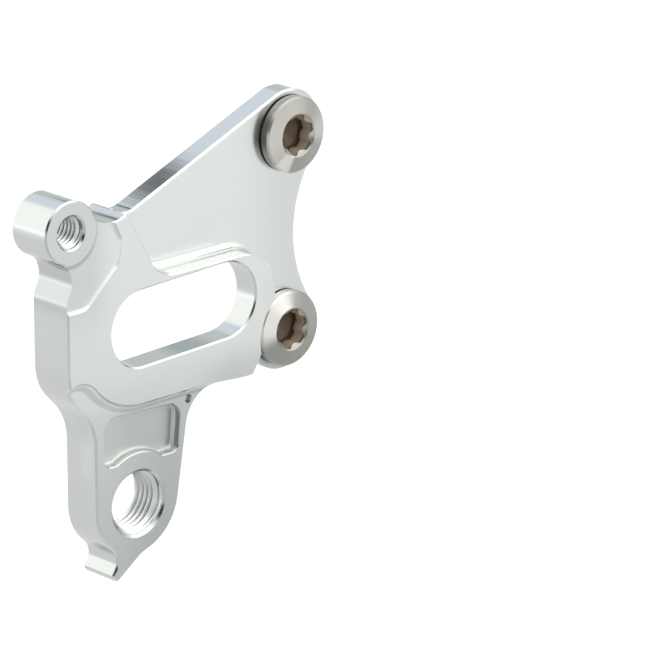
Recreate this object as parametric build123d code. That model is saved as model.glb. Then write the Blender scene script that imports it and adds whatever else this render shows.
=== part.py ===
from build123d import *
import math
import os

# Bolt-on drive-side dropout with derailleur hanger, milled from one thick plate, with its two bolts.
# All sizes are millimetres. The shapes are drawn flat, looking at the outer side:
# u runs forward along the bicycle, v runs up, and heights are counted outwards from the hanger face.
# At the end they are turned upright: +X forward, +Z up, and the outer side faces -Y.
# The origin is the centre of the derailleur thread on the hanger's outer face.

# Plate and levels
PAD_RISE = 1.1             # outer pad above the hanger face
HANGER_THICKNESS = 7.0
ARM_RECESS = 4.1           # arm face below the outer pad
EDGE_BREAK = 0.3           # chamfer round the outer edges
PAD_BREAK = 0.25           # the same on the pad, finer
STEP_BREAK = 0.2           # chamfer along the edge of the arm step

# Derailleur thread, M10 x 1
HANGER_THREAD_R = 5.0
HANGER_LEAD_IN = 0.45      # chamfer at the mouth
LEAD_IN = 0.3              # chamfers at the ends of the holes

# Eyelet boss at the upper rear, M5 thread
EYELET_U = -13.3
EYELET_V = 45.75
EYELET_THREAD_R = 2.5
EYELET_BOSS_R = 4.9
EYELET_NOTCH_R = 3.55      # waist between the boss and the rear edge
EYELET_NOTCH_OUT = 2.42    # from the rear edge out to the waist's centre
NECK_BLEND_R = 3.0
SPOT_FACE_R = 6.2          # behind the boss, for a nut
SPOT_FACE_DEPTH = 0.6

# Axle slot, 12 mm wide
SLOT_R = 6.0
SLOT_REAR_U = 0.35
SLOT_REAR_V = 28.05
SLOT_TRAVEL = 17.0
SLOT_RISE_DEG = 2.0
SLOT_BREAK = 0.25
SEAT_DEPTH = 3.5           # seat for the axle's end on the inner side
SEAT_REACH = 3.8           # past both ends of the slot
SEAT_BELOW = 1.7
SEAT_ABOVE = 0.4
SEAT_CORNER_R = 5.0

# Rear column and hanger outline
COLUMN_REAR_U = -14.2
SHOULDER_TOP_V = 20.6
SHOULDER_LOW_V = 14.4
SHOULDER_CORNER_R = 8.0
SHOULDER_R = 9.0
HANGER_REAR_U = -8.3
HANGER_ROUND_R = 8.3
HANGER_FRONT_U = 8.3       # at the height of the thread
HANGER_LEAN = 0.167        # forward per unit of height
HANGER_FILLET_R = 6.1
UNDERSIDE_V = 15.5

# Stop tab under the hanger
TAB_HOLLOW_R = 2.6
TAB_HOLLOW_DEG = 230.0     # seen from the thread
TAB_TIP_DEG = -56.0        # seen from the hollow's centre
TAB_TIP_R = 0.6
TAB_FOOT_U = -4.4
TAB_FOOT_V = -11.8
TAB_FOOT_R = 0.7
TAB_BEND_U = 0.66
TAB_BEND_V = -8.25
TAB_BEND_R = 6.0
HANGER_CORNER_RISE = 0.325
HANGER_CORNER_R = 8.8

# Arms with the two bolt lobes
BOLT_UPPER_U = 34.1
BOLT_UPPER_V = 51.0
BOLT_LOWER_U = 32.7
BOLT_LOWER_V = 20.15
LOBE_R = 6.9
ARM_WAIST_R = 19.6
ARM_TOP_DEG = 22.4
LOBE_ROOT_R = 2.0

# Saddle between the eyelet boss and the arm
SADDLE_R = 5.5
SADDLE_U = -5.3
SADDLE_V = 45.75
SADDLE_BLEND_R = 1.0
RIDGE_U = -2.4
RIDGE_V = 46.5
RIDGE_DEG = 156.0          # slope forward of the ridge
RIDGE_R = 0.6
VALLEY_R = 3.0

# Step from the pad down to the arm face
STEP_TOP_V = 35.2
STEP_LEAN_DEG = 61.0
STEP_CORNER_R = 5.5
STEP_END_U = 27.5
STEP_END_R = 7.0
STEP_ROOT_R = 1.2
BOLT_CLEAR_R = 8.0         # round scallop that clears the lower bolt
SCALLOP_BLEND_R = 2.5
FOOT_U = 22.8
FOOT_DEG = 58.0

# Step from the pad down to the hanger face
HANGER_STEP_V = 16.4
HANGER_STEP_U = 0.0        # where the curve runs out into the straight
HANGER_STEP_R = 11.5
HANGER_HOOK_R = 4.2        # round end at the rear edge
HANGER_HOOK_V = 22.2
HANGER_STEP_BEND_U = 14.0
HANGER_STEP_BEND_R = 8.0
HANGER_STEP_END_U = 21.5
COVE_R = 1.5

# Shallow recess round the eyelet boss
RECESS_DEPTH = 0.3
RECESS_LOW_V = 33.15
RECESS_KNEE_U = -10.6
RECESS_KNEE_R = 2.5
RECESS_SHOULDER_U = -4.1
RECESS_SHOULDER_V = 39.05
RECESS_SHOULDER_R = 2.0
RECESS_SIDE_U = -3.3
RECESS_SIDE_V = 42.7
RECESS_SIDE_R = 2.0
RECESS_SIDE_DEG = 116.0

# Pocket in the hanger
POCKET_DEPTH = 1.5
POCKET_REAR_U = -6.6
POCKET_TOP_REAR_V = 14.95
POCKET_TOP_V = 14.2
POCKET_FRONT_U = 7.45      # at the height of the thread
POCKET_LEAN = 0.1          # forward per unit of height
POCKET_LOW_V = 6.5
POCKET_LOW_REAR_V = 7.05
POCKET_THREAD_WALL = 3.15
POCKET_TOP_R = 2.2
POCKET_LOW_R = 1.4
POCKET_TIP_R = 0.8
POCKET_FLOOR_R = 0.6
POCKET_BREAK = 0.12

# Small drilled dimple beside the hanger fillet
DIMPLE_U = 10.3
DIMPLE_V = 14.35
DIMPLE_R = 0.7
DIMPLE_DEPTH = 1.0
DIMPLE_TIP = 0.4           # cone left by the drill

# Bolts, with a thin round head, a plain neck that fits the plate and an M8 end for the frame
BOLT_R = 4.0
NECK_R = 4.3
NECK_FIT = 0.05            # clearance between a neck and its hole
NECK_SHORT = 0.3           # the neck ends just inside the back face
RELIEF_R = 3.4             # groove between neck and thread
RELIEF_WIDTH = 0.5
HEAD_R = 6.0
HEAD_THICKNESS = 1.5       # at the rim
HEAD_CROWN = 0.5           # the face rises in a flat cone towards the socket
HEAD_BREAK = 0.3
HEAD_GAP = 0.3             # the heads stand just off the arm face
LUG_THICKNESS = 4.0        # frame lug that the bolts clamp
BOLT_SHORT = 0.5           # the bolts end just inside the lug
BOLT_END_BREAK = 0.6
SOCKET_R = 3.2
SOCKET_WAIST_R = 2.7
SOCKET_RIB_R = 1.5
SOCKET_EDGE_R = 0.4
SOCKET_TURN_DEG = 15.0
SOCKET_DEPTH = 3.0
SOCKET_MOUTH_R = 3.45
SOCKET_MOUTH_DEPTH = 0.6
DRILL_R = 2.5
DRILL_TIP = 0.8            # cone left by the drill under the socket

OVER = 6.0                 # how far the cutting tools reach past the metal
NEAR = 1e-4                # distance that counts as touching when edges are picked
FILLET_ROOM = 0.95         # share of a straight that the fillets at its two ends may take

BACK = -HANGER_THICKNESS
ARM_FACE = PAD_RISE - ARM_RECESS
TOOL_TOP = PAD_RISE + OVER
EYELET = (EYELET_U, EYELET_V)
BOLT_UPPER = (BOLT_UPPER_U, BOLT_UPPER_V)
BOLT_LOWER = (BOLT_LOWER_U, BOLT_LOWER_V)
SLOT_REAR = (SLOT_REAR_U, SLOT_REAR_V)


def polar(centre, radius, degrees):
    """The point at an angle on a circle."""
    angle = math.radians(degrees)
    return (centre[0] + radius * math.cos(angle), centre[1] + radius * math.sin(angle))


def towards(start, end, distance):
    """The point at a distance from start on the line to end."""
    share = distance / math.dist(start, end)
    return (start[0] + (end[0] - start[0]) * share, start[1] + (end[1] - start[1]) * share)


def along(start, degrees, v):
    """The point at height v on the line through start at an angle."""
    return (start[0] + (v - start[1]) / math.tan(math.radians(degrees)), v)


def crossing(a, slope_a, b, slope_b):
    """Where two lines meet, each given by a point and its rise per unit."""
    u = (b[1] - a[1] + slope_a * a[0] - slope_b * b[0]) / (slope_a - slope_b)
    return (u, a[1] + slope_a * (u - a[0]))


def disc(centre, radius):
    """A filled circle."""
    return Pos(*centre) * Circle(radius)


def softened(sketch, radius, *points):
    """A sketch with the corners nearest to the points rounded."""
    for u, v in points:
        nearest = sketch.vertices().sort_by_distance((u, v, 0))[0]
        sketch = fillet(nearest, radius)
    return sketch


def rounded(*corners):
    """A polygon given as points, each with the radius of its corner."""
    sketch = make_face(Polyline(*[point for point, radius in corners], close=True))
    for point, radius in corners:
        if radius > 0:
            sketch = softened(sketch, radius, point)
    return sketch


def slab(sketch, low, high):
    """A sketch made solid between two heights."""
    return extrude(Pos(0, 0, low) * sketch, high - low)


def mill(sketch, floor, radius):
    """What a cutter with rounded corners takes away above a floor."""
    tool = slab(sketch, floor, TOOL_TOP)
    return fillet(tool.edges().group_by(Axis.Z)[0], radius)


# Rear half of the outline, from the eyelet boss down to the stop tab
notch_u = COLUMN_REAR_U - EYELET_NOTCH_OUT
notch_reach = EYELET_BOSS_R + EYELET_NOTCH_R
notch = (notch_u, EYELET_V - math.sqrt(notch_reach ** 2 - (EYELET_U - notch_u) ** 2))
notch_end = (COLUMN_REAR_U, notch[1] - math.sqrt(EYELET_NOTCH_R ** 2 - EYELET_NOTCH_OUT ** 2))
hollow = polar((0, 0), HANGER_ROUND_R + TAB_HOLLOW_R, TAB_HOLLOW_DEG)
tab_tip = polar(hollow, TAB_HOLLOW_R, TAB_TIP_DEG)

# The shoulder's two fillets are limited by the slope between them
shoulder_top = (COLUMN_REAR_U, SHOULDER_TOP_V)
shoulder_low = (HANGER_REAR_U, SHOULDER_LOW_V)
shoulder_turn = math.atan2(HANGER_REAR_U - COLUMN_REAR_U, SHOULDER_TOP_V - SHOULDER_LOW_V)
shoulder_needs = (SHOULDER_CORNER_R + SHOULDER_R) * math.tan(shoulder_turn / 2)
shoulder_share = min(1, FILLET_ROOM * math.dist(shoulder_top, shoulder_low) / shoulder_needs)

# Front half, from the tab up the hanger and round the arms
tab_bend = (TAB_BEND_U, TAB_BEND_V)
hanger_corner = crossing(tab_bend, HANGER_CORNER_RISE, (HANGER_FRONT_U, 0), 1 / HANGER_LEAN)
hanger_top = crossing((0, UNDERSIDE_V), 0, (HANGER_FRONT_U, 0), 1 / HANGER_LEAN)
lobe_gap = math.dist(BOLT_UPPER, BOLT_LOWER)
waist_out = math.sqrt((LOBE_R + ARM_WAIST_R) ** 2 - (lobe_gap / 2) ** 2)
waist = ((BOLT_UPPER_U + BOLT_LOWER_U) / 2 + waist_out * (BOLT_UPPER_V - BOLT_LOWER_V) / lobe_gap,
         (BOLT_UPPER_V + BOLT_LOWER_V) / 2 - waist_out * (BOLT_UPPER_U - BOLT_LOWER_U) / lobe_gap)
arm_top = polar(BOLT_UPPER, LOBE_R, 90 + ARM_TOP_DEG)
ridge = (RIDGE_U, RIDGE_V)
valley = crossing(ridge, math.tan(math.radians(RIDGE_DEG)), arm_top, math.tan(math.radians(ARM_TOP_DEG)))
saddle = (SADDLE_U, SADDLE_V + SADDLE_R)

outline = rounded(
    (EYELET, 0),
    (towards(EYELET, notch, EYELET_BOSS_R), 0),
    (notch_end, 0),
    (shoulder_top, shoulder_share * SHOULDER_CORNER_R),
    (shoulder_low, shoulder_share * SHOULDER_R),
    ((HANGER_REAR_U, 0), 0),
    ((0, 0), 0),
    (towards((0, 0), hollow, HANGER_ROUND_R), 0),
    (tab_tip, 0),
    ((TAB_FOOT_U, TAB_FOOT_V), TAB_FOOT_R),
    (tab_bend, TAB_BEND_R),
    (hanger_corner, HANGER_CORNER_R),
    (hanger_top, HANGER_FILLET_R),
    ((BOLT_LOWER_U, UNDERSIDE_V), 0),
    (BOLT_LOWER, 0),
    (towards(BOLT_LOWER, waist, LOBE_R), 0),
    (towards(BOLT_UPPER, waist, LOBE_R), 0),
    (BOLT_UPPER, 0),
    (arm_top, 0),
    (valley, VALLEY_R),
    (along(ridge, RIDGE_DEG, RIDGE_V + SADDLE_BLEND_R), 0),
    ((EYELET_U, EYELET_V + EYELET_BOSS_R / 2), 0),
)
outline -= disc(saddle, SADDLE_R)
outline += disc(EYELET, EYELET_BOSS_R)
rear_half = Pos(-HANGER_ROUND_R, 0) * Rectangle(2 * HANGER_ROUND_R, 2 * HANGER_ROUND_R)
outline += disc((0, 0), HANGER_ROUND_R) & rear_half
outline += disc(BOLT_UPPER, LOBE_R) + disc(BOLT_LOWER, LOBE_R)
outline -= disc(notch, EYELET_NOTCH_R) + disc(hollow, TAB_HOLLOW_R) + disc(waist, ARM_WAIST_R)
lobe_root = (BOLT_LOWER_U - math.sqrt(LOBE_R ** 2 - (BOLT_LOWER_V - UNDERSIDE_V) ** 2), UNDERSIDE_V)
saddle_end = towards(EYELET, saddle, EYELET_BOSS_R)
outline = softened(outline, NECK_BLEND_R, notch_end)
outline = softened(outline, LOBE_ROOT_R, lobe_root)
outline = softened(outline, RIDGE_R, ridge)
outline = softened(outline, SADDLE_BLEND_R, (saddle_end[0], saddle_end[1] - 1))
outline = softened(outline, TAB_TIP_R, tab_tip)

# Arm step: everything forward of the leaning edge, above the pad and past its round end
lean_foot = crossing((0, STEP_TOP_V), 0, ridge, math.tan(math.radians(180 - STEP_LEAN_DEG)))
foot = (FOOT_U, UNDERSIDE_V)
scallop_top = (STEP_END_U, BOLT_LOWER_V + math.sqrt(BOLT_CLEAR_R ** 2 - (BOLT_LOWER_U - STEP_END_U) ** 2))
arm_area = rounded(
    (along(lean_foot, 180 - STEP_LEAN_DEG, BOLT_UPPER_V + OVER), 0),
    (lean_foot, STEP_CORNER_R),
    ((STEP_END_U, STEP_TOP_V), STEP_END_R),
    ((STEP_END_U, BOLT_LOWER_V), 0),
    (along(foot, FOOT_DEG, BOLT_LOWER_V), 0),
    (along(foot, FOOT_DEG, UNDERSIDE_V - OVER), 0),
    ((BOLT_UPPER_U + 2 * LOBE_R, UNDERSIDE_V - OVER), 0),
    ((BOLT_UPPER_U + 2 * LOBE_R, BOLT_UPPER_V + 2 * LOBE_R), 0),
    ((0, BOLT_UPPER_V + 2 * LOBE_R), 0),
)
arm_area += disc(BOLT_LOWER, BOLT_CLEAR_R)
arm_area = softened(arm_area, SCALLOP_BLEND_R, scallop_top,
                    (BOLT_LOWER_U - BOLT_CLEAR_R, BOLT_LOWER_V - 1))

# Hanger step: a hook at the rear edge, a long curve, then straight and running out below the slot
step_curve = (HANGER_STEP_U, HANGER_STEP_V + HANGER_STEP_R)
hook_v = HANGER_HOOK_V - HANGER_HOOK_R
hook_reach = HANGER_STEP_R + HANGER_HOOK_R
hook = (HANGER_STEP_U - math.sqrt(hook_reach ** 2 - (step_curve[1] - hook_v) ** 2), hook_v)
hanger_area = rounded(
    (hook, 0),
    (towards(hook, step_curve, HANGER_HOOK_R), 0),
    ((HANGER_STEP_U, HANGER_STEP_V), 0),
    ((HANGER_STEP_BEND_U, HANGER_STEP_V), HANGER_STEP_BEND_R),
    ((HANGER_STEP_END_U, UNDERSIDE_V), 0),
    ((HANGER_STEP_END_U, TAB_FOOT_V - OVER), 0),
    ((COLUMN_REAR_U - OVER, TAB_FOOT_V - OVER), 0),
    ((COLUMN_REAR_U - OVER, hook_v), 0),
)
hanger_area -= disc(step_curve, HANGER_STEP_R)
hanger_area += disc(hook, HANGER_HOOK_R)

# Recess round the eyelet boss, drawn where the cutter's rounded corner meets the pad
cutter_rise = COVE_R - math.sqrt(COVE_R ** 2 - (COVE_R - RECESS_DEPTH) ** 2)
recess_area = rounded(
    ((COLUMN_REAR_U - OVER, RECESS_LOW_V), 0),
    ((RECESS_KNEE_U, RECESS_LOW_V), RECESS_KNEE_R),
    ((RECESS_SHOULDER_U, RECESS_SHOULDER_V), RECESS_SHOULDER_R),
    ((RECESS_SIDE_U, RECESS_SIDE_V), RECESS_SIDE_R),
    (along((RECESS_SIDE_U, RECESS_SIDE_V), RECESS_SIDE_DEG, EYELET_V + 2 * EYELET_BOSS_R), 0),
    ((COLUMN_REAR_U - OVER, EYELET_V + 2 * EYELET_BOSS_R), 0),
)
recess_area = offset(recess_area, cutter_rise, kind=Kind.INTERSECTION)
boss_surround = disc(EYELET, 8 * EYELET_BOSS_R) - disc(EYELET, EYELET_BOSS_R - cutter_rise)

# Pocket in the hanger, concentric with the thread along its lower edge
pocket_front = 1 / POCKET_LEAN
pocket_low = crossing((0, POCKET_LOW_V), 0, (POCKET_FRONT_U, 0), pocket_front)
pocket_top = crossing((0, POCKET_TOP_V), 0, (POCKET_FRONT_U, 0), pocket_front)
pocket_area = rounded(
    ((POCKET_REAR_U, POCKET_LOW_REAR_V), POCKET_LOW_R),
    ((0, POCKET_LOW_REAR_V), 0),
    ((0, POCKET_LOW_V), 0),
    (pocket_low, POCKET_LOW_R),
    (pocket_top, POCKET_TOP_R),
    ((POCKET_REAR_U, POCKET_TOP_REAR_V), POCKET_TOP_R),
)
thread_wall = HANGER_THREAD_R + POCKET_THREAD_WALL
pocket_area -= disc((0, 0), thread_wall)
pocket_area = softened(pocket_area, POCKET_TIP_R,
                       (math.sqrt(thread_wall ** 2 - POCKET_LOW_V ** 2), POCKET_LOW_V),
                       (-math.sqrt(thread_wall ** 2 - POCKET_LOW_REAR_V ** 2), POCKET_LOW_REAR_V))

# Slot for the axle, and the flat-topped seat behind it
slot_frame = Pos(*SLOT_REAR) * Rot(0, 0, SLOT_RISE_DEG)
slot_area = slot_frame * Pos(SLOT_TRAVEL / 2, 0) * SlotCenterToCenter(SLOT_TRAVEL, 2 * SLOT_R)
seat_length = SLOT_TRAVEL + 2 * (SLOT_R + SEAT_REACH)
seat_height = 2 * SLOT_R + SEAT_BELOW + SEAT_ABOVE
seat_area = (slot_frame * Pos(SLOT_TRAVEL / 2, (SEAT_ABOVE - SEAT_BELOW) / 2)
             * RectangleRounded(seat_length, seat_height, SEAT_CORNER_R))


def flare(sketch, height, size):
    """The 45 degree break round a cut that opens at a height."""
    return extrude(Pos(0, 0, height - size) * sketch, size, taper=-45)


def turned(*points):
    """A solid of revolution whose half section is given as (radius, height) points."""
    return revolve(make_face(Plane.XZ * Polyline(*points, close=True)), Axis.Z)


def bore(centre, radius, low, high, mouth):
    """A round hole between two heights, with 45 degree chamfers at its mouth and far end."""
    return Pos(*centre) * turned(
        (0, low - OVER), (radius + LEAD_IN + OVER, low - OVER), (radius, low + LEAD_IN),
        (radius, high - mouth), (radius + mouth + OVER, high + OVER), (0, high + OVER))


def edges_on(solid, sketch, height):
    """The edges of a solid at a height that follow the boundary of a sketch."""
    found = []
    for edge in solid.edges():
        points = [edge @ share for share in (0, 0.5, 1)]
        level = all(abs(point.Z - height) < NEAR for point in points)
        if level and min(wire.distance_to(Vertex(points[1].X, points[1].Y, 0))
                         for wire in sketch.face().wires()) < NEAR:
            found.append(edge)
    return found


# The dropout, milled from the outer side
body = slab(outline, BACK, PAD_RISE)
body = chamfer(body.edges().group_by(Axis.Z)[0], EDGE_BREAK)
body = chamfer(body.edges().group_by(Axis.Z)[-1], PAD_BREAK)
body -= mill(arm_area, ARM_FACE, STEP_ROOT_R)
body -= mill(hanger_area, 0, COVE_R)
recess_floor = PAD_RISE - RECESS_DEPTH
body -= mill(recess_area, recess_floor, COVE_R) & mill(boss_surround, recess_floor, COVE_R)
body = chamfer(edges_on(body, outline, 0), EDGE_BREAK)
body = chamfer(edges_on(body, outline, ARM_FACE), EDGE_BREAK)
body -= flare(arm_area, PAD_RISE, STEP_BREAK)
body -= mill(pocket_area, -POCKET_DEPTH, POCKET_FLOOR_R)
body -= flare(pocket_area, 0, POCKET_BREAK)
body -= slab(slot_area, BACK, PAD_RISE)
body -= flare(slot_area, PAD_RISE, SLOT_BREAK)
body -= slab(seat_area, BACK, BACK + SEAT_DEPTH)
body = chamfer(edges_on(body, slot_area, BACK + SEAT_DEPTH), SLOT_BREAK)
body = chamfer(edges_on(body, seat_area, BACK), SLOT_BREAK)

body -= slab(disc(EYELET, SPOT_FACE_R), BACK, BACK + SPOT_FACE_DEPTH)
body -= bore((0, 0), HANGER_THREAD_R, BACK, 0, HANGER_LEAD_IN)
body -= bore(EYELET, EYELET_THREAD_R, BACK + SPOT_FACE_DEPTH, PAD_RISE, LEAD_IN)
for centre in (BOLT_UPPER, BOLT_LOWER):
    body -= bore(centre, NECK_R + NECK_FIT, BACK, ARM_FACE, 0)
body -= Pos(DIMPLE_U, DIMPLE_V) * turned(
    (0, PAD_RISE), (DIMPLE_R, PAD_RISE), (DIMPLE_R, -DIMPLE_DEPTH), (0, -DIMPLE_DEPTH - DIMPLE_TIP))

# A bolt standing on its own axis, heights as on the dropout
head_low = ARM_FACE + HEAD_GAP
rim_high = head_low + HEAD_THICKNESS
crown = rim_high + HEAD_CROWN
neck_end = BACK + NECK_SHORT
thread_start = neck_end - RELIEF_WIDTH
bolt_end = BACK - LUG_THICKNESS + BOLT_SHORT
bolt = turned(
    (0, bolt_end), (BOLT_R - BOLT_END_BREAK, bolt_end), (BOLT_R, bolt_end + BOLT_END_BREAK),
    (BOLT_R, thread_start), (RELIEF_R, thread_start), (RELIEF_R, neck_end), (NECK_R, neck_end),
    (NECK_R, head_low), (HEAD_R, head_low), (HEAD_R, rim_high - HEAD_BREAK),
    (HEAD_R - HEAD_BREAK, rim_high), (SOCKET_MOUTH_R, crown), (0, crown))
socket_area = disc((0, 0), SOCKET_R)
for turn in range(6):
    rib = polar((0, 0), SOCKET_WAIST_R + SOCKET_RIB_R, SOCKET_TURN_DEG + 30 + 60 * turn)
    socket_area -= disc(rib, SOCKET_RIB_R)
socket_area = fillet(socket_area.vertices(), SOCKET_EDGE_R)
socket_bottom = crown - SOCKET_DEPTH
bolt -= slab(socket_area, socket_bottom, crown)
mouth_low = crown - SOCKET_MOUTH_DEPTH
bolt -= turned((0, mouth_low), (SOCKET_WAIST_R, mouth_low), (SOCKET_MOUTH_R, crown), (0, crown))
bolt -= turned((0, socket_bottom - DRILL_TIP), (DRILL_R, socket_bottom), (0, socket_bottom))

os.makedirs("parts", exist_ok=True)
upright = Rot(90, 0, 0)
export_step(upright * body, "parts/hanger_dropout.step")
bolts = Compound(children=[upright * Pos(*centre) * bolt for centre in (BOLT_UPPER, BOLT_LOWER)])
export_step(bolts, "parts/frame_bolts.step")
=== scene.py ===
import math

import bmesh
import bpy
from bpy.props import FloatProperty, FloatVectorProperty, IntProperty, PointerProperty
from mathutils import Euler, Matrix, Vector


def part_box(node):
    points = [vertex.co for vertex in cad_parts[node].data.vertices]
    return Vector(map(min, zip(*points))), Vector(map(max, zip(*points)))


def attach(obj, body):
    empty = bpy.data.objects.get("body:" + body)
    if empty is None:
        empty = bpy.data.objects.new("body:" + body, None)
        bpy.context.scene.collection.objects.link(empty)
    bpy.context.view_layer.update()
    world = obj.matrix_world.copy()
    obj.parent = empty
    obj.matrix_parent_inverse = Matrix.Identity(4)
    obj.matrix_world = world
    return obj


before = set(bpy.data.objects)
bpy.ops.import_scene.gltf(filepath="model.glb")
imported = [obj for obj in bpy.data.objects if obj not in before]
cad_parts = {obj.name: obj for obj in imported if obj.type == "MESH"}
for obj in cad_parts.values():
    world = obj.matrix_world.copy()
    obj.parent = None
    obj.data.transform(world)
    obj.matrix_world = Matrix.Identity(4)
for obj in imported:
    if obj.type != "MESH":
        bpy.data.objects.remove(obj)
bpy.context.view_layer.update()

bl_info = {
    "name": "Dropout With Derailleur Hanger",
    "version": (1, 0, 0),
    "blender": (4, 5, 0),
    "location": "View3D > Sidebar > Dropout",
    "description": "Finishes a milled bicycle dropout: metals, thread ridges, camera and studio",
    "category": "Object",
}

MM = 0.001
BODY = "root"
PLATE = "hanger_dropout"
BOLTS = "frame_bolts"

# Where the plate's finish and its painted shade change: a mask is empty at the first number, full
# at the second

FACE_TURN = (0.35, 0.90)
SILL_TURN = (0.80, 0.95)
HANGER_TOP = (17.0 * MM, 15.0 * MM)
HANGER_WIDTH = (-8.0 * MM, 6.0 * MM)
BEHIND_FRONT = (-1.1 * MM, -0.3 * MM)
NEAR_FRONT = (4.5 * MM, 3.0 * MM)
POCKET_DEPTH = (0.3 * MM, 1.1 * MM)
POCKET_FOOT = (5.0 * MM, 5.8 * MM)
WAIST_WIDTH = (20.0 * MM, 36.0 * MM)
PAD_FOOT = (23.0 * MM, 16.0 * MM)
PAD_WIDTH = (6.0 * MM, 20.0 * MM)
BOSS_WIDTH = (-4.0 * MM, -10.0 * MM)
BOSS_FOOT = (26.0 * MM, 38.0 * MM)
NOTCH_FOOT = (31.0 * MM, 34.5 * MM)
NOTCH_TOP = (44.0 * MM, 41.5 * MM)
NOTCH_WIDTH = (-8.0 * MM, -11.0 * MM)
SILL_MIDDLE = 10.9 * MM
SILL_WIDTH = (5.5 * MM, 1.0 * MM)
SILL_FOOT = (19.0 * MM, 20.5 * MM)
SILL_TOP = (26.5 * MM, 25.0 * MM)

# Shares of the second colour, painted shade, at those places, and of a random cloud over the whole
# plate

HANGER_LEFT_SHADE = 0.3
POCKET_SHADE = 0.30
WAIST_SHADE = 0.42
PAD_LEFT_SHADE = 0.25
PAD_RIGHT_SHADE = 0.45
BOSS_SHADE = 0.50
NOTCH_SHADE = 0.45
CLOUD = 0.12
WEAR = 0.08
POCKET_ROUGHER = 0.22

# The frame bolts: radii, depths below the crown (mouth, and deep where painted shade sets in), and
# depths on the part

HEAD_RADIUS = 6.0 * MM
SOCKET_RIM = (3.6 * MM, 3.3 * MM)
SOCKET_MOUTH = (0.1 * MM, 1.0 * MM)
SOCKET_SHADE_DEPTH = (2.2 * MM, 2.9 * MM)
SOCKET_END = (6.0 * MM, 5.5 * MM)
M8_START = (7.8 * MM, 8.1 * MM)
SOCKET_OXIDE = 0.75
BRUSHED = 0.75

# Sectors of painted sheen on the turned heads: direction from the axis, cosine at the edge and at
# the core

UPPER_CREST = ((0.15, 0, 0.99), 0.30, 0.85)
UPPER_GLINT = ((-0.54, 0, -0.84), 0.93, 0.99)
UPPER_SIDES = ((-0.35, 0, 0.94), -0.80, -0.45)
LOWER_SIDE = ((-0.80, 0, 0.60), 0.40, 0.85)
SIDES_SHEEN = 0.47
CREST_LOSS = 0.38

# Thread ridges: centre across the hole, and where they start and end in depth

DERAILLEUR_HOLE = (0, 0)
DERAILLEUR_RUN = (0.2 * MM, 6.95 * MM)
EYELET_HOLE = (-13.3 * MM, 45.75 * MM)
EYELET_RUN = (-0.85 * MM, 6.15 * MM)
RIDGE_SINK = 0.07 * MM
SHARP_EDGE = math.radians(35)

# Shares of a thread's pitch: the ridge's depth, its four corners and the fade at its ends

RIDGE_DEPTH = 0.58
RIDGE_PROFILE = (0.02, 0.44, 0.56, 0.98)
RIDGE_MIDDLE = 0.5
RIDGE_FADE = 0.4
RIDGE_LEAST = 0.02

# Grain, streaks and turning marks: scales of the noise, heights in metres, and roughness

FACE_GRAIN = 5200.0
THREAD_GRAIN = 9000.0
CLOUD_SCALE = 130.0
STREAK_SCALE = 900.0
STREAK_STRETCH = 0.03
RING_SPACING = 0.18 * MM
M8_PITCH = 1.25 * MM
GRAIN_HEIGHT = 0.02 * MM
STREAK_HEIGHT = 0.03 * MM
M8_HEIGHT = 0.6 * MM
THREAD_GRAIN_STRENGTH = 0.3
RING_STRENGTH = 0.6
RING_ROUGHNESS = 0.16
CUT_ROUGHNESS = 0.26
CUT_ROUGHER = 0.10
BARE_COLOUR = (0.85, 0.86, 0.85)

# Studio: soft cards in the sky, each with its direction, outer and inner angle, and colour

SOFT_CARDS = (
    ((0.45, -0.62, 0.65), 46, 24, (1.92, 1.92, 1.90)),
    ((-0.60, 0.69, 0.35), 60, 25, (1.30, 1.30, 1.28)),
    ((0.66, 0.69, 0.31), 34, 12, (0.66, 0.71, 0.72)),
    ((0.25, 0.69, 0.68), 19, 9, (0.86, 0.93, 1.02)),
    ((-0.60, -0.68, 0.34), 24, 15, (0.03, 0.03, 0.03)),
)
HORIZON_COLOUR = (0.95, 0.95, 0.95)
ZENITH_COLOUR = (0.85, 0.86, 0.88)
KEY_PLACE = (-0.5, -0.45, 0.75)
KEY_SIZE = 0.5

# Studio floor, in metres: what its mirror image shows, by reach from the part and by Y: painted
# lighter reflections in front and far off, a painted shadow close by, and a painted shade wedge,
# nearly black after a second mirror

FLOOR_HALF = 6.0
FLOOR_COLOUR = (0.64, 0.64, 0.64)
SEEN_LIFT = 0.40
MIRROR_LIFT = 0.08
FRONT_LIFT = 0.27
FRONT_SPAN = (0.08, -0.10)
FAR_LIFT = 0.60
FAR_REACH = (0.20, 0.85)
FAR_SPAN = (-0.05, 0.10)
CLOSE_SHARE = 0.42
CLOSE_REACH = (0.28, 0.14)
CLOSE_SPAN = (0.0, -0.05)
CLOSE_SHADOW_COLOUR = (0.22, 0.23, 0.23)
WEDGE_TOWARDS = (-0.69, -0.72, 0)
WEDGE_ANGLES = (24, 10)
WEDGE_REACH = (0.09, 0.14)
WEDGE_SHADE_COLOUR = (0.72, 0.72, 0.72)
WEDGE_CREVICE_SHADE = 0.05

# Small flag behind the part, in metres, seen only in mirrors

FLAG_PLACE = (0.0205, 0.036, 0.081)
FLAG_TOWARDS = (0.25, 0.69, 0.68)
FLAG_HALF = 0.03
FLAG_FADE = (6.8 * MM, 1.0 * MM)
FLAG_FOOT = (45.5 * MM, 42.0 * MM)
FLAG_COLOUR = (0.16, 0.17, 0.18)


# Settings


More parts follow.
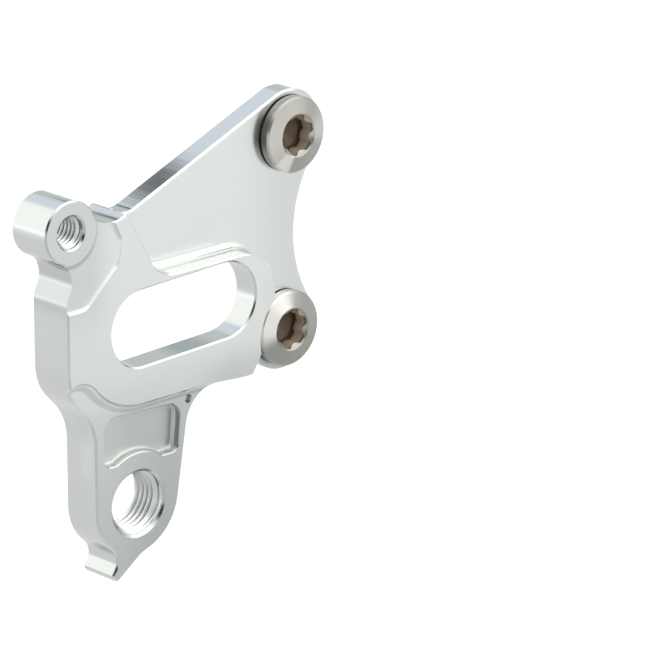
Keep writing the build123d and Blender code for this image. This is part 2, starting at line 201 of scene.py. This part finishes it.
class PlateSettings(bpy.types.PropertyGroup):
    colour: FloatVectorProperty(
        name="Aluminium", description="Colour of the anodised aluminium", subtype="COLOR",
        size=3, min=0, max=1, default=(0.70, 0.72, 0.70))
    hanger_shade_colour: FloatVectorProperty(
        name="Hanger", description="Colour of the painted shade on the hanger face", subtype="COLOR",
        size=3, min=0, max=1, default=(0.52, 0.55, 0.53))
    cloud_and_shade_colour: FloatVectorProperty(
        name="Shade and cloud", description="Colour of the painted shade and of the random cloud", subtype="COLOR",
        size=3, min=0, max=1, default=(0.48, 0.51, 0.51))
    face_roughness: FloatProperty(
        name="Face roughness", description="Roughness of the flat faces", min=0, max=1,
        default=0.20)
    wall_roughness: FloatProperty(
        name="Wall roughness", description="Roughness of the milled walls", min=0, max=1,
        default=0.11)
    grain: FloatProperty(
        name="Grain", description="Height of the fine grain on the faces", min=0, max=1,
        default=0.12)
    streaks: FloatProperty(
        name="Streaks", description="Height of the cutter's streaks on the walls", min=0, max=1,
        default=0.7)


class BoltSettings(bpy.types.PropertyGroup):
    colour: FloatVectorProperty(
        name="Stainless", description="Colour of the turned stainless steel", subtype="COLOR",
        size=3, min=0, max=1, default=(0.36, 0.355, 0.325))
    sheen_colour: FloatVectorProperty(
        name="Painted sheen", description="Colour of the painted sheen on the heads",
        subtype="COLOR", size=3, min=0, max=1, default=(0.74, 0.72, 0.68))
    socket_colour: FloatVectorProperty(
        name="Socket", description="Colour inside the sockets", subtype="COLOR",
        size=3, min=0, max=1, default=(0.62, 0.52, 0.40))
    socket_shade_colour: FloatVectorProperty(
        name="Socket shade", description="Colour of the painted shade deep in the sockets", subtype="COLOR",
        size=3, min=0, max=1, default=(0.10, 0.072, 0.045))
    roughness: FloatProperty(
        name="Roughness", description="Roughness of the turned faces", min=0, max=1, default=0.30)


class ThreadSettings(bpy.types.PropertyGroup):
    derailleur_radius: FloatProperty(
        name="Derailleur thread", description="Major radius of the M10 thread", unit="LENGTH",
        default=5.0 * MM)
    derailleur_pitch: FloatProperty(
        name="Derailleur pitch", description="Pitch of the M10 thread", unit="LENGTH",
        default=1.0 * MM)
    eyelet_radius: FloatProperty(
        name="Eyelet thread", description="Major radius of the M5 thread", unit="LENGTH",
        default=2.5 * MM)
    eyelet_pitch: FloatProperty(
        name="Eyelet pitch", description="Pitch of the M5 thread", unit="LENGTH",
        default=0.8 * MM)
    steps: IntProperty(
        name="Steps", description="Steps in each turn of a ridge", min=12, max=96, default=48)


class StageSettings(bpy.types.PropertyGroup):
    azimuth: FloatProperty(
        name="Azimuth", description="Camera's turn about the part", subtype="ANGLE",
        default=math.radians(-43.657))
    elevation: FloatProperty(
        name="Elevation", description="Camera's height above the horizon", subtype="ANGLE",
        default=math.radians(18.211))
    distance: FloatProperty(
        name="Distance", description="Camera's distance from the thread's centre", unit="LENGTH",
        default=700 * MM)
    aim_right: FloatProperty(
        name="Aim right", description="Middle of the picture, to the right of the thread",
        unit="LENGTH", default=29.34 * MM)
    aim_up: FloatProperty(
        name="Aim up", description="Middle of the picture, above the thread", unit="LENGTH",
        default=25.87 * MM)
    lens: FloatProperty(
        name="Lens", description="Focal length for a sensor 36 mm wide", default=250.37)
    floor_drop: FloatProperty(
        name="Floor", description="Floor's depth below the thread", unit="LENGTH",
        default=60 * MM)
    key_power: FloatProperty(
        name="Key light", description="Power of the large soft light", default=0.45)


# Shared shader groups


def new_group(name, inputs, outputs):
    """A shader node group with named sockets: (name, type, default)."""
    group = bpy.data.node_groups.new(name, "ShaderNodeTree")
    for label, kind, default in inputs:
        socket = group.interface.new_socket(name=label, in_out="INPUT", socket_type=kind)
        if default is not None:
            socket.default_value = default
    for label, kind in outputs:
        group.interface.new_socket(name=label, in_out="OUTPUT", socket_type=kind)
    return group, group.nodes.new("NodeGroupInput"), group.nodes.new("NodeGroupOutput")


def feed(tree, socket, value):
    """Links a socket to another one, or sets it to a value."""
    if isinstance(value, bpy.types.NodeSocket):
        tree.links.new(value, socket)
    else:
        socket.default_value = value


def add_node(tree, kind, **settings):
    node = tree.nodes.new(kind)
    for key, value in settings.items():
        setattr(node, key, value)
    return node


def calculate(tree, operation, first, second=None):
    """The result of a Math node on one or two sockets or numbers."""
    node = add_node(tree, "ShaderNodeMath", operation=operation)
    feed(tree, node.inputs[0], first)
    if second is not None:
        feed(tree, node.inputs[1], second)
    return node.outputs[0]


def multiply(tree, *values):
    """The product of several sockets and numbers."""
    product = values[0]
    for value in values[1:]:
        product = calculate(tree, "MULTIPLY", product, value)
    return product


def rest_of(tree, mask):
    return calculate(tree, "SUBTRACT", 1.0, mask)


def vector_math(tree, operation, first, second=None):
    node = add_node(tree, "ShaderNodeVectorMath", operation=operation)
    feed(tree, node.inputs[0], first)
    if second is not None:
        feed(tree, node.inputs[1], second)
    return node.outputs


def separate(tree, vector):
    node = add_node(tree, "ShaderNodeSeparateXYZ")
    tree.links.new(vector, node.inputs[0])
    return node.outputs


def blend_colours(tree, factor, first, second):
    node = add_node(tree, "ShaderNodeMix", data_type="RGBA")
    feed(tree, node.inputs[0], factor)
    for index, colour in ((6, first), (7, second)):
        feed(tree, node.inputs[index],
             colour if isinstance(colour, bpy.types.NodeSocket) else (*colour[:3], 1))
    return node.outputs[2]


def blend_vectors(tree, factor, first, second):
    node = add_node(tree, "ShaderNodeMix", data_type="VECTOR")
    for index, value in ((0, factor), (4, first), (5, second)):
        feed(tree, node.inputs[index], value)
    return node.outputs[1]


def range_mask(tree, value, span):
    """0 at a span's first number and 1 at its second, softly between."""
    node = add_node(tree, "ShaderNodeMapRange", interpolation_type="SMOOTHSTEP")
    node.inputs["From Min"].default_value, node.inputs["From Max"].default_value = span
    tree.links.new(value, node.inputs["Value"])
    return node.outputs["Result"]


def cone_mask(tree, direction, towards, angles):
    """0 outside the first angle about a fixed direction and 1 inside the second."""
    turned = vector_math(tree, "DOT_PRODUCT", direction, Vector(towards).normalized())["Value"]
    return range_mask(tree, turned, [math.cos(math.radians(angle)) for angle in angles])


def noise(tree, vector, scale, detail, roughness):
    """The height of a noise texture."""
    node = add_node(tree, "ShaderNodeTexNoise")
    for label, value in (("Vector", vector), ("Scale", scale), ("Detail", detail),
                         ("Roughness", roughness)):
        feed(tree, node.inputs[label], value)
    return node.outputs["Fac"]


def glow(tree, colour, strength=1.0):
    node = add_node(tree, "ShaderNodeEmission")
    feed(tree, node.inputs["Color"], (*colour, 1))
    feed(tree, node.inputs["Strength"], strength)
    return node


def blend_shaders(tree, factor, first, second):
    node = add_node(tree, "ShaderNodeMixShader")
    for index, value in enumerate((factor, first.outputs[0], second.outputs[0])):
        feed(tree, node.inputs[index], value)
    return node


def grain_group():
    """Fine blasted grain and a broad cloud over it: a height and a mask."""
    group, given, result = new_group(
        "Blasted Grain",
        [("Vector", "NodeSocketVector", None), ("Scale", "NodeSocketFloat", 6000.0)],
        [("Height", "NodeSocketFloat"), ("Mask", "NodeSocketFloat")])
    vector = given.outputs["Vector"]
    fine = noise(group, vector, given.outputs["Scale"], detail=4.0, roughness=0.6)
    broad = noise(group, vector, CLOUD_SCALE, detail=3.0, roughness=0.5)
    group.links.new(fine, result.inputs["Height"])
    group.links.new(broad, result.inputs["Mask"])
    return group


def rings_group():
    """Turning marks about an axis along Y: their height, the radius and the height of a
    helical ridge."""
    group, given, result = new_group(
        "Turning Marks",
        [("Vector", "NodeSocketVector", None), ("Centre", "NodeSocketVector", (0, 0, 0)),
         ("Spacing", "NodeSocketFloat", RING_SPACING), ("Pitch", "NodeSocketFloat", M8_PITCH)],
        [("Height", "NodeSocketFloat"), ("Radius", "NodeSocketFloat"),
         ("Helix", "NodeSocketFloat")])
    links = group.links
    offset = vector_math(group, "SUBTRACT", given.outputs["Vector"], given.outputs["Centre"])
    split = separate(group, offset[0])
    flat = add_node(group, "ShaderNodeCombineXYZ")
    links.new(split["X"], flat.inputs["X"])
    links.new(split["Z"], flat.inputs["Z"])
    radius = vector_math(group, "LENGTH", flat.outputs[0])["Value"]
    line = add_node(group, "ShaderNodeCombineXYZ")
    links.new(calculate(group, "DIVIDE", radius, given.outputs["Spacing"]), line.inputs["X"])
    marks = noise(group, line.outputs[0], 1.0, detail=2.0, roughness=0.6)
    angle = calculate(group, "ARCTAN2", split["X"], split["Z"])
    turns = calculate(group, "DIVIDE", angle, 2 * math.pi)
    rise = calculate(group, "DIVIDE", split["Y"], given.outputs["Pitch"])
    helix = calculate(group, "PINGPONG", calculate(group, "ADD", rise, turns), 0.5)
    links.new(marks, result.inputs["Height"])
    links.new(radius, result.inputs["Radius"])
    links.new(helix, result.inputs["Helix"])
    return group


def streaks_group():
    """Streaks that a milling cutter leaves on a wall, along its own axis Y: a height."""
    group, given, result = new_group(
        "Cutter Streaks",
        [("Vector", "NodeSocketVector", None)],
        [("Height", "NodeSocketFloat")])
    drawn = add_node(group, "ShaderNodeMapping")
    drawn.inputs["Scale"].default_value = (1.0, STREAK_STRETCH, 1.0)
    group.links.new(given.outputs["Vector"], drawn.inputs["Vector"])
    marks = noise(group, drawn.outputs[0], STREAK_SCALE, detail=3.0, roughness=0.55)
    group.links.new(marks, result.inputs["Height"])
    return group


# Materials


def new_material(name):
    """An empty node material with a Principled BSDF and Object coordinates."""
    material = bpy.data.materials.new(name)
    material.use_nodes = True
    tree = material.node_tree
    tree.nodes.clear()
    output = tree.nodes.new("ShaderNodeOutputMaterial")
    shader = tree.nodes.new("ShaderNodeBsdfPrincipled")
    tree.links.new(shader.outputs[0], output.inputs[0])
    coordinates = tree.nodes.new("ShaderNodeTexCoord").outputs["Object"]
    return material, tree, shader, coordinates


def use_group(tree, name, build, **inputs):
    """A shared group placed in a material, built when the first material asks for it."""
    node = tree.nodes.new("ShaderNodeGroup")
    node.node_tree = bpy.data.node_groups.get(name) or build()
    for label, value in inputs.items():
        feed(tree, node.inputs[label], value)
    return node.outputs


def bump(tree, height, strength, distance):
    node = add_node(tree, "ShaderNodeBump")
    node.inputs["Strength"].default_value = strength
    node.inputs["Distance"].default_value = distance
    tree.links.new(height, node.inputs["Height"])
    return node


def dress(piece, material):
    piece.data.materials.clear()
    piece.data.materials.append(material)


def hanger_shade(tree, place, flat, behind, front, pocket):
    """The share of the hanger's painted shade colour: on its front face, most at the right and in
    the pocket.
    """
    hanger = multiply(tree, range_mask(tree, place["Z"], HANGER_TOP),
                      multiply(tree, behind, front), flat)
    across = multiply(tree, range_mask(tree, place["X"], HANGER_WIDTH), 1 - HANGER_LEFT_SHADE)
    shade = multiply(tree, hanger, calculate(tree, "ADD", across, HANGER_LEFT_SHADE))
    deeper = multiply(tree, pocket, multiply(tree, hanger, POCKET_SHADE))
    return calculate(tree, "MINIMUM", calculate(tree, "ADD", shade, deeper), 1.0)


def painted_shade_share(tree, place, facing, flat, behind):
    """The share of the painted shade colour: waist, boss and pad on the faces, notch and sill on
    walls.
    """
    waist = multiply(tree, range_mask(tree, place["X"], WAIST_WIDTH), WAIST_SHADE)
    pad = multiply(tree, range_mask(tree, place["Z"], PAD_FOOT), calculate(
        tree, "ADD", PAD_LEFT_SHADE,
        multiply(tree, range_mask(tree, place["X"], PAD_WIDTH), PAD_RIGHT_SHADE)))
    pad = multiply(tree, pad, rest_of(tree, behind))
    boss = multiply(tree, range_mask(tree, place["X"], BOSS_WIDTH),
                    range_mask(tree, place["Z"], BOSS_FOOT), BOSS_SHADE)
    faces = calculate(tree, "MAXIMUM", calculate(tree, "MAXIMUM", waist, boss), pad)
    notch = multiply(tree, range_mask(tree, place["Z"], NOTCH_FOOT),
                     range_mask(tree, place["Z"], NOTCH_TOP),
                     range_mask(tree, place["X"], NOTCH_WIDTH), NOTCH_SHADE)
    away = calculate(tree, "ABSOLUTE", calculate(tree, "SUBTRACT", place["X"], SILL_MIDDLE))
    sill = multiply(tree, range_mask(tree, away, SILL_WIDTH),
                    range_mask(tree, facing["Z"], SILL_TURN),
                    range_mask(tree, place["Z"], SILL_FOOT),
                    range_mask(tree, place["Z"], SILL_TOP))
    walls = calculate(tree, "MAXIMUM", notch, sill)
    return calculate(tree, "MAXIMUM", multiply(tree, faces, flat),
                     multiply(tree, rest_of(tree, flat), walls))


def aluminium(settings):
    """Satin anodised aluminium: cutter streaks on its walls, fine grain on its faces, painted
    shade in places.
    """
    material, tree, shader, coordinates = new_material("Satin Aluminium")
    place = separate(tree, coordinates)
    facing = separate(tree, add_node(tree, "ShaderNodeNewGeometry").outputs["True Normal"])
    grain = use_group(tree, "Blasted Grain", grain_group, Vector=coordinates, Scale=FACE_GRAIN)
    streaks = use_group(tree, "Cutter Streaks", streaks_group, Vector=coordinates)
    flat = range_mask(tree, calculate(tree, "ABSOLUTE", facing["Y"]), FACE_TURN)
    behind = range_mask(tree, place["Y"], BEHIND_FRONT)
    front = range_mask(tree, place["Y"], NEAR_FRONT)
    pocket = multiply(tree, range_mask(tree, place["Y"], POCKET_DEPTH), front,
                      range_mask(tree, place["Z"], POCKET_FOOT))

    shade = hanger_shade(tree, place, flat, behind, front, pocket)
    # painted shade: the hanger's front face darker towards the right and in its pocket, where its
    # reflections are darker
    base = blend_colours(tree, shade, settings.colour, settings.hanger_shade_colour)
    # painted shade: waist, pad, boss, notch and sill darker where their reflections are darker,
    # with a random cloud of tone over it
    cloud_and_shade = calculate(tree, "ADD", multiply(tree, grain["Mask"], CLOUD),
                     painted_shade_share(tree, place, facing, flat, behind))
    tree.links.new(blend_colours(tree, cloud_and_shade, base, settings.cloud_and_shade_colour),
                   shader.inputs["Base Color"])
    shader.inputs["Metallic"].default_value = 1.0

    smooth = calculate(
        tree, "ADD", settings.wall_roughness,
        multiply(tree, flat, settings.face_roughness - settings.wall_roughness))
    hollow = multiply(tree, pocket, range_mask(tree, place["Z"], HANGER_TOP), POCKET_ROUGHER)
    worn = calculate(tree, "ADD", multiply(tree, grain["Mask"], WEAR), hollow)
    tree.links.new(calculate(tree, "ADD", worn, smooth), shader.inputs["Roughness"])

    fine = bump(tree, grain["Height"], settings.grain, GRAIN_HEIGHT)
    cut = bump(tree, streaks["Height"], settings.streaks, STREAK_HEIGHT)
    tree.links.new(blend_vectors(tree, flat, cut.outputs[0], fine.outputs[0]),
                   shader.inputs["Normal"])
    return material


def cut_thread(settings):
    """The cut ridges: the same aluminium, bare and a little rougher along the cut."""
    material, tree, shader, coordinates = new_material("Cut Thread")
    grain = use_group(tree, "Blasted Grain", grain_group, Vector=coordinates, Scale=THREAD_GRAIN)
    tree.links.new(blend_colours(tree, multiply(tree, grain["Mask"], CLOUD),
                                 settings.colour, BARE_COLOUR), shader.inputs["Base Color"])
    shader.inputs["Metallic"].default_value = 1.0
    tree.links.new(calculate(tree, "ADD", multiply(tree, grain["Height"], CUT_ROUGHER),
                             CUT_ROUGHNESS), shader.inputs["Roughness"])
    relief = bump(tree, grain["Height"], THREAD_GRAIN_STRENGTH, GRAIN_HEIGHT)
    tree.links.new(relief.outputs[0], shader.inputs["Normal"])
    return material


def head_sheen(tree, spoke, upper):
    """The share of the painted sheen colour round each head, other for the upper and lower bolt.
    """

    def sector(towards, edge, core):
        turned = vector_math(tree, "DOT_PRODUCT", spoke, towards)["Value"]
        return range_mask(tree, turned, (edge, core))

    crest = multiply(tree, sector(*UPPER_CREST), CREST_LOSS)
    sides = multiply(tree, sector(*UPPER_SIDES), calculate(tree, "SUBTRACT", SIDES_SHEEN, crest))
    upper_sheen = calculate(tree, "MAXIMUM", sector(*UPPER_GLINT), sides)
    return calculate(tree, "ADD", multiply(tree, upper, upper_sheen),
                     multiply(tree, rest_of(tree, upper), sector(*LOWER_SIDE)))


def stainless(settings):
    """Turned stainless steel: rings about each bolt's axis, painted sheen on the heads, sockets
    with painted shade deep inside, M8 thread behind.
    """
    low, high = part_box(BOLTS)
    crown = low[1]
    material, tree, shader, coordinates = new_material("Turned Stainless")
    place = separate(tree, coordinates)
    upper = calculate(tree, "GREATER_THAN", place["Z"], (low[2] + high[2]) / 2)
    centre = blend_vectors(tree, upper, (low[0] + HEAD_RADIUS, 0, low[2] + HEAD_RADIUS),
                           (high[0] - HEAD_RADIUS, 0, high[2] - HEAD_RADIUS))
    rings = use_group(tree, "Turning Marks", rings_group, Vector=coordinates, Centre=centre)
    offset = vector_math(tree, "SUBTRACT", coordinates, centre)[0]
    spoke = vector_math(tree, "NORMALIZE", vector_math(tree, "MULTIPLY", offset, (1, 0, 1))[0])[0]

    socket = multiply(tree, range_mask(tree, rings["Radius"], SOCKET_RIM),
                      range_mask(tree, place["Y"], [crown + depth for depth in SOCKET_MOUTH]),
                      range_mask(tree, place["Y"], SOCKET_END))
    # painted shade: the sockets darken towards their bottom
    deep = range_mask(tree, place["Y"], [crown + depth for depth in SOCKET_SHADE_DEPTH])
    hollow = blend_colours(tree, deep, settings.socket_colour, settings.socket_shade_colour)
    # painted sheen: sectors of each head lighter, as if they caught the light
    face = blend_colours(tree, head_sheen(tree, spoke, upper), settings.colour,
                         settings.sheen_colour)
    tree.links.new(blend_colours(tree, socket, face, hollow), shader.inputs["Base Color"])
    tree.links.new(rest_of(tree, multiply(tree, socket, SOCKET_OXIDE)),
                   shader.inputs["Metallic"])
    shader.inputs["Anisotropic"].default_value = BRUSHED
    tree.links.new(spoke, shader.inputs["Tangent"])
    marks = rings["Height"]
    tree.links.new(calculate(tree, "ADD", multiply(tree, marks, RING_ROUGHNESS),
                             settings.roughness - RING_ROUGHNESS / 2),
                   shader.inputs["Roughness"])

    turned = bump(tree, marks, RING_STRENGTH, GRAIN_HEIGHT)
    ridges = multiply(tree, rings["Helix"], range_mask(tree, place["Y"], M8_START))
    thread = bump(tree, ridges, 1.0, M8_HEIGHT)
    tree.links.new(turned.outputs[0], thread.inputs["Normal"])
    tree.links.new(thread.outputs[0], shader.inputs["Normal"])
    return material


# Thread ridges


def finish_piece(name, mesh_data, material):
    """Makes an object of a bmesh at the origin and puts it on the part."""
    mesh = bpy.data.meshes.new(name)
    mesh_data.to_mesh(mesh)
    mesh_data.free()
    mesh.shade_smooth()
    mesh.set_sharp_from_angle(angle=SHARP_EDGE)
    piece = bpy.data.objects.new(name, mesh)
    bpy.context.scene.collection.objects.link(piece)
    dress(piece, material)
    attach(piece, BODY)
    return piece


def inner_ridge(name, centre, radius, pitch, run, steps, material):
    """A helical ridge that stands inwards from the wall of a hole along Y, faded at its ends."""
    start, end = run
    root = radius + RIDGE_SINK
    crest = radius - RIDGE_DEPTH * pitch
    turns = (end - start) / pitch - 1
    shape = bmesh.new()
    corners = [shape.verts.new((centre[0] + reach, start + share * pitch, centre[1]))
               for reach, share in zip((root, crest, crest, root), RIDGE_PROFILE)]
    sides = [shape.edges.new((corners[i], corners[(i + 1) % 4])) for i in range(4)]
    count = round(turns * steps)
    spun = bmesh.ops.spin(
        shape, geom=corners + sides, cent=(centre[0], 0, centre[1]), axis=(0, 1, 0),
        dvec=(0, pitch / steps, 0), angle=2 * math.pi * count / steps, steps=count,
        use_merge=False)
    last = [item for item in spun["geom_last"] if isinstance(item, bmesh.types.BMVert)]
    bmesh.ops.contextual_create(shape, geom=corners)
    bmesh.ops.contextual_create(shape, geom=last)
    axis = Vector((centre[0], 0, centre[1]))
    for corner in shape.verts:
        spoke = Vector((corner.co.x, 0, corner.co.z)) - axis
        past_end = min(corner.co.y - start, end - corner.co.y) / pitch - RIDGE_MIDDLE
        if spoke.length < radius:
            share = max(RIDGE_LEAST, min(1.0, past_end / RIDGE_FADE))
            faded = root - (root - spoke.length) * share
            corner.co += spoke.normalized() * (faded - spoke.length)
    bmesh.ops.recalc_face_normals(shape, faces=shape.faces)
    return finish_piece(name, shape, material)


# Operators


class DROPOUT_OT_plate(bpy.types.Operator):
    """Give the dropout its satin anodised aluminium"""
    bl_idname = "dropout.plate"
    bl_label = "Finish Dropout"

    def execute(self, context):
        dress(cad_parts[PLATE], aluminium(context.scene.dropout_plate))
        return {"FINISHED"}


class DROPOUT_OT_bolts(bpy.types.Operator):
    """Give the frame bolts their turned stainless steel"""
    bl_idname = "dropout.bolts"
    bl_label = "Finish Bolts"

    def execute(self, context):
        dress(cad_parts[BOLTS], stainless(context.scene.dropout_bolts))
        return {"FINISHED"}


class DROPOUT_OT_threads(bpy.types.Operator):
    """Cut the ridges of the derailleur thread and of the eyelet thread"""
    bl_idname = "dropout.threads"
    bl_label = "Cut Threads"

    def execute(self, context):
        settings = context.scene.dropout_threads
        material = cut_thread(context.scene.dropout_plate)
        inner_ridge("derailleur_thread", DERAILLEUR_HOLE, settings.derailleur_radius,
                    settings.derailleur_pitch, DERAILLEUR_RUN, settings.steps, material)
        inner_ridge("eyelet_thread", EYELET_HOLE, settings.eyelet_radius,
                    settings.eyelet_pitch, EYELET_RUN, settings.steps, material)
        return {"FINISHED"}


class DROPOUT_OT_stage(bpy.types.Operator):
    """Set the camera, the white floor and the soft studio light"""
    bl_idname = "dropout.stage"
    bl_label = "Set Stage"

    def execute(self, context):
        settings = context.scene.dropout_stage
        place_camera(context.scene, settings)
        lay_floor(settings)
        light_studio(context.scene, settings)
        hang_flag()
        return {"FINISHED"}


def place_camera(scene, settings):
    turn = Euler((math.pi / 2 - settings.elevation, 0, settings.azimuth)).to_matrix()
    offset = Vector((settings.aim_right, settings.aim_up, settings.distance))
    data = bpy.data.cameras.new("Camera")
    data.sensor_fit = "HORIZONTAL"
    data.sensor_width = 36
    data.lens = settings.lens
    data.clip_start = 0.01
    data.clip_end = 20
    camera = bpy.data.objects.new("Camera", data)
    camera.matrix_world = Matrix.Translation(turn @ offset) @ turn.to_4x4()
    scene.collection.objects.link(camera)
    scene.camera = camera


def studio_sheet(name, half, matrix, material):
    """A square sheet for the stage, with half its side, where a matrix puts it."""
    shape = bmesh.new()
    bmesh.ops.create_grid(shape, x_segments=1, y_segments=1, size=half)
    bmesh.ops.transform(shape, matrix=matrix, verts=shape.verts)
    mesh = bpy.data.meshes.new(name)
    shape.to_mesh(mesh)
    shape.free()
    sheet = bpy.data.objects.new(name, mesh)
    bpy.context.scene.collection.objects.link(sheet)
    dress(sheet, material)


def sheet_material(name):
    """An empty material for the stage, with Object coordinates, their parts and Light Path."""
    material = bpy.data.materials.new(name)
    material.use_nodes = True
    tree = material.node_tree
    tree.nodes.clear()
    coordinates = add_node(tree, "ShaderNodeTexCoord").outputs["Object"]
    paths = add_node(tree, "ShaderNodeLightPath").outputs
    return material, tree, coordinates, separate(tree, coordinates), paths


def end_material(tree, surface):
    output = add_node(tree, "ShaderNodeOutputMaterial")
    tree.links.new(surface.outputs[0], output.inputs[0])


def lay_floor(settings):
    """A pale matt floor, lifted to white for the camera, with painted reflections, shadow and
    shade by place in mirrors.
    """
    material, tree, coordinates, place, paths = sheet_material("Pale Floor")
    mirrored = paths["Is Glossy Ray"]
    level = vector_math(tree, "MULTIPLY", coordinates, (1, 1, 0))[0]
    reach = vector_math(tree, "LENGTH", level)["Value"]
    around = vector_math(tree, "NORMALIZE", level)[0]

    # painted reflections: the floor lighter in front and far off, only in mirrors
    front = multiply(tree, range_mask(tree, place["Y"], FRONT_SPAN), FRONT_LIFT)
    far = multiply(tree, range_mask(tree, reach, FAR_REACH),
                   range_mask(tree, place["Y"], FAR_SPAN), FAR_LIFT)
    raised = calculate(tree, "ADD", calculate(tree, "ADD", front, MIRROR_LIFT), far)
    strength = calculate(tree, "MAXIMUM", multiply(tree, raised, mirrored),
                         multiply(tree, paths["Is Camera Ray"], SEEN_LIFT))
    matt = add_node(tree, "ShaderNodeBsdfDiffuse")
    matt.inputs["Color"].default_value = (*FLOOR_COLOUR, 1)
    lit = add_node(tree, "ShaderNodeAddShader")
    tree.links.new(matt.outputs[0], lit.inputs[0])
    tree.links.new(glow(tree, (1, 1, 1), strength).outputs[0], lit.inputs[1])

    # painted shadow of the part close by, seen only in mirrors
    close = multiply(tree, range_mask(tree, reach, CLOSE_REACH),
                     range_mask(tree, place["Y"], CLOSE_SPAN), mirrored, CLOSE_SHARE)
    near = blend_shaders(tree, close, lit, glow(tree, CLOSE_SHADOW_COLOUR))

    # painted shade wedge in mirrors, nearly black after a second mirror, standing in for shade in
    # crevices
    wedge = multiply(tree, range_mask(tree, reach, WEDGE_REACH),
                     cone_mask(tree, around, WEDGE_TOWARDS, WEDGE_ANGLES), mirrored)
    first_mirror = calculate(tree, "LESS_THAN", paths["Glossy Depth"], 1.5)
    shade = glow(tree, WEDGE_SHADE_COLOUR, calculate(tree, "MAXIMUM", first_mirror, WEDGE_CREVICE_SHADE))
    end_material(tree, blend_shaders(tree, wedge, near, shade))
    studio_sheet("studio_floor", FLOOR_HALF, Matrix.Translation((0, 0, -settings.floor_drop)),
                 material)


def light_studio(scene, settings):
    """A pale room with soft cards in its sky, white to the camera, and one soft lamp."""
    world = bpy.data.worlds.new("Studio")
    world.use_nodes = True
    tree = world.node_tree
    tree.nodes.clear()
    ray = add_node(tree, "ShaderNodeTexCoord").outputs["Generated"]
    ramp = add_node(tree, "ShaderNodeValToRGB")
    horizon, zenith = ramp.color_ramp.elements
    horizon.position, horizon.color = 0.0, (*HORIZON_COLOUR, 1)
    zenith.position, zenith.color = 1.0, (*ZENITH_COLOUR, 1)
    tree.links.new(separate(tree, ray)["Z"], ramp.inputs[0])
    colour = ramp.outputs[0]
    for towards, outer, inner, shade in SOFT_CARDS:
        colour = blend_colours(tree, cone_mask(tree, ray, towards, (outer, inner)), colour, shade)
    paths = add_node(tree, "ShaderNodeLightPath").outputs
    colour = blend_colours(tree, paths["Is Camera Ray"], colour, (1, 1, 1))
    sky = add_node(tree, "ShaderNodeBackground")
    sky.inputs["Strength"].default_value = 1.0
    tree.links.new(colour, sky.inputs["Color"])
    output = add_node(tree, "ShaderNodeOutputWorld")
    tree.links.new(sky.outputs[0], output.inputs[0])
    scene.world = world

    data = bpy.data.lights.new("Key", "AREA")
    data.shape = "RECTANGLE"
    data.size = data.size_y = KEY_SIZE
    data.energy = settings.key_power
    key = bpy.data.objects.new("Key", data)
    place = Vector(KEY_PLACE)
    key.matrix_world = (Matrix.Translation(place)
                        @ place.to_track_quat("Z", "Y").to_matrix().to_4x4())
    scene.collection.objects.link(key)


def hang_flag():
    """A small soft dark flag close behind the part, which only mirrors on it."""
    material, tree, coordinates, place, paths = sheet_material("Soft Black Flag")
    off = calculate(tree, "ABSOLUTE", calculate(tree, "SUBTRACT", place["X"], FLAG_PLACE[0]))
    cover = multiply(tree, range_mask(tree, off, FLAG_FADE),
                     range_mask(tree, place["Y"], FLAG_FOOT), paths["Is Glossy Ray"])
    clear = add_node(tree, "ShaderNodeBsdfTransparent")
    end_material(tree, blend_shaders(tree, cover, clear, glow(tree, FLAG_COLOUR)))
    towards = Vector(FLAG_TOWARDS).normalized()
    turn = towards.to_track_quat("Z", "X").to_matrix().to_4x4()
    studio_sheet("studio_flag", FLAG_HALF, Matrix.Translation(FLAG_PLACE) @ turn, material)


# Panel and start


class DROPOUT_PT_panel(bpy.types.Panel):
    """Settings of the dropout and of its stage"""
    bl_idname = "DROPOUT_PT_panel"
    bl_label = "Dropout"
    bl_space_type = "VIEW_3D"
    bl_region_type = "UI"
    bl_category = "Dropout"

    def draw(self, context):
        scene = context.scene
        for operator, name in STEPS:
            box = self.layout.box()
            settings = getattr(scene, name)
            for prop in settings.bl_rna.properties:
                if prop.identifier not in ("rna_type", "name"):
                    box.prop(settings, prop.identifier)
            box.operator(operator.bl_idname)


STEPS = (
    (DROPOUT_OT_plate, "dropout_plate"),
    (DROPOUT_OT_bolts, "dropout_bolts"),
    (DROPOUT_OT_threads, "dropout_threads"),
    (DROPOUT_OT_stage, "dropout_stage"),
)
GROUPS = {
    "dropout_plate": PlateSettings,
    "dropout_bolts": BoltSettings,
    "dropout_threads": ThreadSettings,
    "dropout_stage": StageSettings,
}
CLASSES = (*GROUPS.values(), *(operator for operator, name in STEPS), DROPOUT_PT_panel)


def register():
    for item in CLASSES:
        bpy.utils.register_class(item)
    for name, group in GROUPS.items():
        setattr(bpy.types.Scene, name, PointerProperty(type=group))


def unregister():
    for name in GROUPS:
        delattr(bpy.types.Scene, name)
    for item in reversed(CLASSES):
        bpy.utils.unregister_class(item)


def main():
    register()
    bpy.context.scene.view_settings.view_transform = "Standard"
    bpy.ops.dropout.plate()
    bpy.ops.dropout.bolts()
    bpy.ops.dropout.threads()
    bpy.ops.dropout.stage()


if __name__ == "__main__":
    main()
